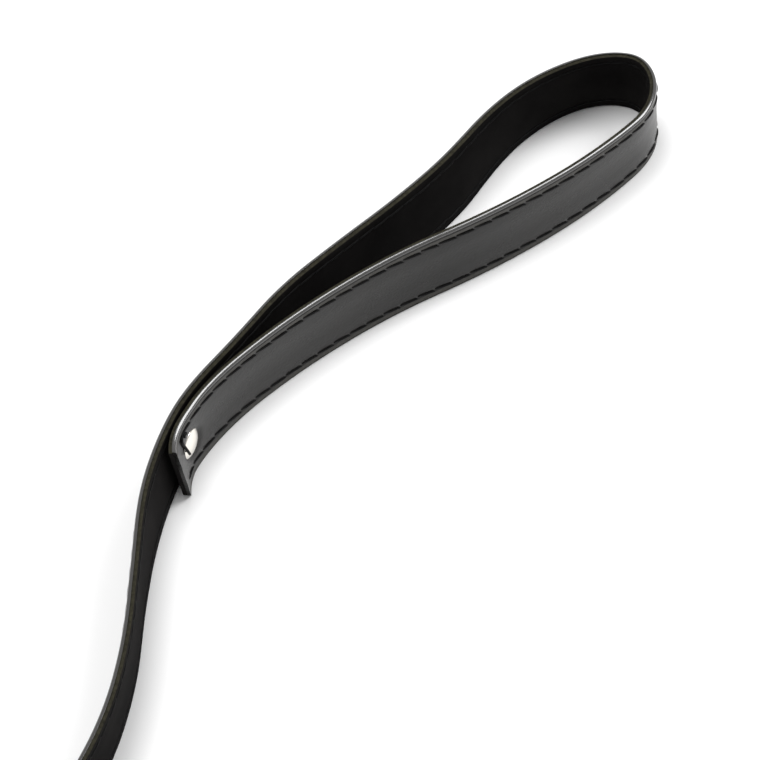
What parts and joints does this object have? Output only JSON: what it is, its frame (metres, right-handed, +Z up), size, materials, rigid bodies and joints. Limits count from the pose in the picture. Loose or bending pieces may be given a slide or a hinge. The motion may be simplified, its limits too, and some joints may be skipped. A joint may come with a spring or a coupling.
{
  "type": "flat lead strap with hand loop and snap",
  "caption": "Flat two-ply stitched black lead strap, standing on edge, with a riveted hand loop, its spare length coiled, and a swivel bolt snap at the far end.",
  "frame": {"origin": "on the floor, on the strap's lower edge below the loop rivet, in the middle of the far leg's outer ply", "axes": "+X from the rivet towards the bend of the hand loop, +Y to the loop's far side, +Z up across the strap's width"},
  "size_m": [0.316, 0.2184, 0.02],
  "materials": {
    "strap_face": "black coated leather, glossy, fine grain",
    "strap_lining": "near-black lining ply, dull",
    "thread": "black waxed polyester thread",
    "rivet": "polished nickel plate",
    "snap_plate": "nickel-plated die casting",
    "bolt_steel": "plated steel, fine turning marks",
    "spring_steel": "bright spring wire"
  },
  "bodies": {
    "strap": {"outer_ply": "strap_face", "lining_ply": "strap_lining", "upper_needle_thread": "thread", "lower_needle_thread": "thread", "upper_bobbin_thread": "thread", "lower_bobbin_thread": "thread", "cut_thread_end": "thread", "loop_rivet_post": "rivet", "loop_rivet_cap": "rivet", "end_rivet_post": "rivet", "end_rivet_cap": "rivet"},
    "eye": {"swivel_eye": "snap_plate"},
    "snap": {"snap_body": "snap_plate", "bolt_spring": "spring_steel"},
    "bolt": {"snap_bolt": "bolt_steel", "thumb_stud": "bolt_steel"}
  },
  "joints": [
    {"name": "eye_pivot", "type": "hinge", "parent": "strap", "child": "eye", "pos_m": [-0.114, -0.134, 0.01], "axis": [0, 0, 1], "range_deg": [-70, 70]},
    {"name": "snap_swivel", "type": "hinge", "parent": "eye", "child": "snap", "pos_m": [-0.102, -0.134, 0.01], "axis": [1, 0, 0], "continuous": true},
    {"name": "bolt_slide", "type": "slide", "parent": "snap", "child": "bolt", "axis": [-1, 0, 0], "range_m": [0, 0.0075], "stiffness_N_per_m": 350, "springref_m": -0.004, "deforming": ["bolt_spring"]}
  ]
}
